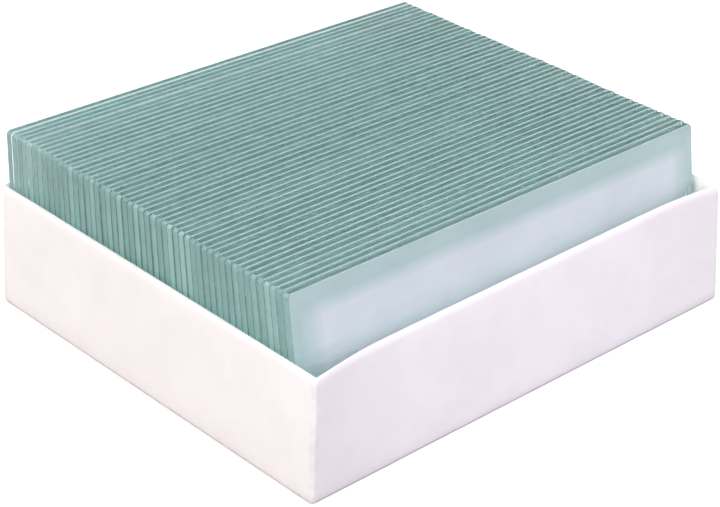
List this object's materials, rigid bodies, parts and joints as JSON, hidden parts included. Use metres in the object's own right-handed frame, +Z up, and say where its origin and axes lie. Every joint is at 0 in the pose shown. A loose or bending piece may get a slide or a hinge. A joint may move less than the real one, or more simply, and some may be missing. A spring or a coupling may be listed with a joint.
{
  "type": "microscope slide tray",
  "caption": "Open folded paperboard tray holding a row of plain glass microscope slides standing on their long edges, each slide lifting straight out.",
  "frame": {"origin": "middle of the tray's flat underside, on the surface it stands on", "axes": "+X along the slides' length, +Y from the front wall to the rear wall along the row of slides, +Z up"},
  "size_m": [0.0794, 0.065, 0.0264],
  "materials": {
    "paperboard": "uncoated white paperboard, matt",
    "glass": "clear soda-lime glass, cut and ground edges with a green-teal tint"
  },
  "bodies": {
    "tray": {"base_panel": "paperboard", "front_wall": "paperboard", "right_wall": "paperboard", "rear_wall": "paperboard", "left_wall": "paperboard", "flap_front_left": "paperboard", "flap_front_right": "paperboard", "flap_rear_right": "paperboard", "flap_rear_left": "paperboard"},
    "slide_01": {"slide_01": "glass"},
    "slide_02": {"slide_02": "glass"},
    "slide_03": {"slide_03": "glass"},
    "slide_04": {"slide_04": "glass"},
    "slide_05": {"slide_05": "glass"},
    "slide_06": {"slide_06": "glass"},
    "slide_07": {"slide_07": "glass"},
    "slide_08": {"slide_08": "glass"},
    "slide_09": {"slide_09": "glass"},
    "slide_10": {"slide_10": "glass"},
    "slide_11": {"slide_11": "glass"},
    "slide_12": {"slide_12": "glass"},
    "slide_13": {"slide_13": "glass"},
    "slide_14": {"slide_14": "glass"},
    "slide_15": {"slide_15": "glass"},
    "slide_16": {"slide_16": "glass"},
    "slide_17": {"slide_17": "glass"},
    "slide_18": {"slide_18": "glass"},
    "slide_19": {"slide_19": "glass"},
    "slide_20": {"slide_20": "glass"},
    "slide_21": {"slide_21": "glass"},
    "slide_22": {"slide_22": "glass"},
    "slide_23": {"slide_23": "glass"},
    "slide_24": {"slide_24": "glass"},
    "slide_25": {"slide_25": "glass"},
    "slide_26": {"slide_26": "glass"},
    "slide_27": {"slide_27": "glass"},
    "slide_28": {"slide_28": "glass"},
    "slide_29": {"slide_29": "glass"},
    "slide_30": {"slide_30": "glass"},
    "slide_31": {"slide_31": "glass"},
    "slide_32": {"slide_32": "glass"},
    "slide_33": {"slide_33": "glass"},
    "slide_34": {"slide_34": "glass"},
    "slide_35": {"slide_35": "glass"},
    "slide_36": {"slide_36": "glass"},
    "slide_37": {"slide_37": "glass"},
    "slide_38": {"slide_38": "glass"},
    "slide_39": {"slide_39": "glass"},
    "slide_40": {"slide_40": "glass"},
    "slide_41": {"slide_41": "glass"},
    "slide_42": {"slide_42": "glass"},
    "slide_43": {"slide_43": "glass"},
    "slide_44": {"slide_44": "glass"},
    "slide_45": {"slide_45": "glass"},
    "slide_46": {"slide_46": "glass"},
    "slide_47": {"slide_47": "glass"},
    "slide_48": {"slide_48": "glass"},
    "slide_49": {"slide_49": "glass"},
    "slide_50": {"slide_50": "glass"}
  },
  "joints": [
    {"name": "slide_01_lift", "type": "slide", "parent": "tray", "child": "slide_01", "axis": [0, 0.1616, 0.9869], "range_m": [0, 0.027]},
    {"name": "slide_02_lift", "type": "slide", "parent": "tray", "child": "slide_02", "axis": [0, 0.1586, 0.9873], "range_m": [0, 0.027]},
    {"name": "slide_03_lift", "type": "slide", "parent": "tray", "child": "slide_03", "axis": [0, 0.1556, 0.9878], "range_m": [0, 0.027]},
    {"name": "slide_04_lift", "type": "slide", "parent": "tray", "child": "slide_04", "axis": [0, 0.1526, 0.9883], "range_m": [0, 0.027]},
    {"name": "slide_05_lift", "type": "slide", "parent": "tray", "child": "slide_05", "axis": [0, 0.1496, 0.9887], "range_m": [0, 0.027]},
    {"name": "slide_06_lift", "type": "slide", "parent": "tray", "child": "slide_06", "axis": [0, 0.1466, 0.9892], "range_m": [0, 0.027]},
    {"name": "slide_07_lift", "type": "slide", "parent": "tray", "child": "slide_07", "axis": [0, 0.1437, 0.9896], "range_m": [0, 0.027]},
    {"name": "slide_08_lift", "type": "slide", "parent": "tray", "child": "slide_08", "axis": [0, 0.1407, 0.9901], "range_m": [0, 0.027]},
    {"name": "slide_09_lift", "type": "slide", "parent": "tray", "child": "slide_09", "axis": [0, 0.1377, 0.9905], "range_m": [0, 0.027]},
    {"name": "slide_10_lift", "type": "slide", "parent": "tray", "child": "slide_10", "axis": [0, 0.1347, 0.9909], "range_m": [0, 0.027]},
    {"name": "slide_11_lift", "type": "slide", "parent": "tray", "child": "slide_11", "axis": [0, 0.1317, 0.9913], "range_m": [0, 0.027]},
    {"name": "slide_12_lift", "type": "slide", "parent": "tray", "child": "slide_12", "axis": [0, 0.1287, 0.9917], "range_m": [0, 0.027]},
    {"name": "slide_13_lift", "type": "slide", "parent": "tray", "child": "slide_13", "axis": [0, 0.1257, 0.9921], "range_m": [0, 0.027]},
    {"name": "slide_14_lift", "type": "slide", "parent": "tray", "child": "slide_14", "axis": [0, 0.1226, 0.9925], "range_m": [0, 0.027]},
    {"name": "slide_15_lift", "type": "slide", "parent": "tray", "child": "slide_15", "axis": [0, 0.1196, 0.9928], "range_m": [0, 0.027]},
    {"name": "slide_16_lift", "type": "slide", "parent": "tray", "child": "slide_16", "axis": [0, 0.1166, 0.9932], "range_m": [0, 0.027]},
    {"name": "slide_17_lift", "type": "slide", "parent": "tray", "child": "slide_17", "axis": [0, 0.1136, 0.9935], "range_m": [0, 0.027]},
    {"name": "slide_18_lift", "type": "slide", "parent": "tray", "child": "slide_18", "axis": [0, 0.1106, 0.9939], "range_m": [0, 0.027]},
    {"name": "slide_19_lift", "type": "slide", "parent": "tray", "child": "slide_19", "axis": [0, 0.1076, 0.9942], "range_m": [0, 0.027]},
    {"name": "slide_20_lift", "type": "slide", "parent": "tray", "child": "slide_20", "axis": [0, 0.1046, 0.9945], "range_m": [0, 0.027]},
    {"name": "slide_21_lift", "type": "slide", "parent": "tray", "child": "slide_21", "axis": [0, 0.1016, 0.9948], "range_m": [0, 0.027]},
    {"name": "slide_22_lift", "type": "slide", "parent": "tray", "child": "slide_22", "axis": [0, 0.0986, 0.9951], "range_m": [0, 0.027]},
    {"name": "slide_23_lift", "type": "slide", "parent": "tray", "child": "slide_23", "axis": [0, 0.0956, 0.9954], "range_m": [0, 0.027]},
    {"name": "slide_24_lift", "type": "slide", "parent": "tray", "child": "slide_24", "axis": [0, 0.0925, 0.9957], "range_m": [0, 0.027]},
    {"name": "slide_25_lift", "type": "slide", "parent": "tray", "child": "slide_25", "axis": [0, 0.0895, 0.996], "range_m": [0, 0.027]},
    {"name": "slide_26_lift", "type": "slide", "parent": "tray", "child": "slide_26", "axis": [0, 0.0865, 0.9963], "range_m": [0, 0.027]},
    {"name": "slide_27_lift", "type": "slide", "parent": "tray", "child": "slide_27", "axis": [0, 0.0835, 0.9965], "range_m": [0, 0.027]},
    {"name": "slide_28_lift", "type": "slide", "parent": "tray", "child": "slide_28", "axis": [0, 0.0805, 0.9968], "range_m": [0, 0.027]},
    {"name": "slide_29_lift", "type": "slide", "parent": "tray", "child": "slide_29", "axis": [0, 0.0775, 0.997], "range_m": [0, 0.027]},
    {"name": "slide_30_lift", "type": "slide", "parent": "tray", "child": "slide_30", "axis": [0, 0.0744, 0.9972], "range_m": [0, 0.027]},
    {"name": "slide_31_lift", "type": "slide", "parent": "tray", "child": "slide_31", "axis": [0, 0.0714, 0.9974], "range_m": [0, 0.027]},
    {"name": "slide_32_lift", "type": "slide", "parent": "tray", "child": "slide_32", "axis": [0, 0.0684, 0.9977], "range_m": [0, 0.027]},
    {"name": "slide_33_lift", "type": "slide", "parent": "tray", "child": "slide_33", "axis": [0, 0.0654, 0.9979], "range_m": [0, 0.027]},
    {"name": "slide_34_lift", "type": "slide", "parent": "tray", "child": "slide_34", "axis": [0, 0.0624, 0.9981], "range_m": [0, 0.027]},
    {"name": "slide_35_lift", "type": "slide", "parent": "tray", "child": "slide_35", "axis": [0, 0.0593, 0.9982], "range_m": [0, 0.027]},
    {"name": "slide_36_lift", "type": "slide", "parent": "tray", "child": "slide_36", "axis": [0, 0.0563, 0.9984], "range_m": [0, 0.027]},
    {"name": "slide_37_lift", "type": "slide", "parent": "tray", "child": "slide_37", "axis": [0, 0.0533, 0.9986], "range_m": [0, 0.027]},
    {"name": "slide_38_lift", "type": "slide", "parent": "tray", "child": "slide_38", "axis": [0, 0.0503, 0.9987], "range_m": [0, 0.027]},
    {"name": "slide_39_lift", "type": "slide", "parent": "tray", "child": "slide_39", "axis": [0, 0.0472, 0.9989], "range_m": [0, 0.027]},
    {"name": "slide_40_lift", "type": "slide", "parent": "tray", "child": "slide_40", "axis": [0, 0.0442, 0.999], "range_m": [0, 0.027]},
    {"name": "slide_41_lift", "type": "slide", "parent": "tray", "child": "slide_41", "axis": [0, 0.0412, 0.9992], "range_m": [0, 0.027]},
    {"name": "slide_42_lift", "type": "slide", "parent": "tray", "child": "slide_42", "axis": [0, 0.0382, 0.9993], "range_m": [0, 0.027]},
    {"name": "slide_43_lift", "type": "slide", "parent": "tray", "child": "slide_43", "axis": [0, 0.0351, 0.9994], "range_m": [0, 0.027]},
    {"name": "slide_44_lift", "type": "slide", "parent": "tray", "child": "slide_44", "axis": [0, 0.0321, 0.9995], "range_m": [0, 0.027]},
    {"name": "slide_45_lift", "type": "slide", "parent": "tray", "child": "slide_45", "axis": [0, 0.0291, 0.9996], "range_m": [0, 0.027]},
    {"name": "slide_46_lift", "type": "slide", "parent": "tray", "child": "slide_46", "axis": [0, 0.0261, 0.9997], "range_m": [0, 0.027]},
    {"name": "slide_47_lift", "type": "slide", "parent": "tray", "child": "slide_47", "axis": [0, 0.023, 0.9997], "range_m": [0, 0.027]},
    {"name": "slide_48_lift", "type": "slide", "parent": "tray", "child": "slide_48", "axis": [0, 0.02, 0.9998], "range_m": [0, 0.027]},
    {"name": "slide_49_lift", "type": "slide", "parent": "tray", "child": "slide_49", "axis": [0, 0.017, 0.9999], "range_m": [0, 0.027]},
    {"name": "slide_50_lift", "type": "slide", "parent": "tray", "child": "slide_50", "axis": [0, 0.014, 0.9999], "range_m": [0, 0.027]}
  ]
}
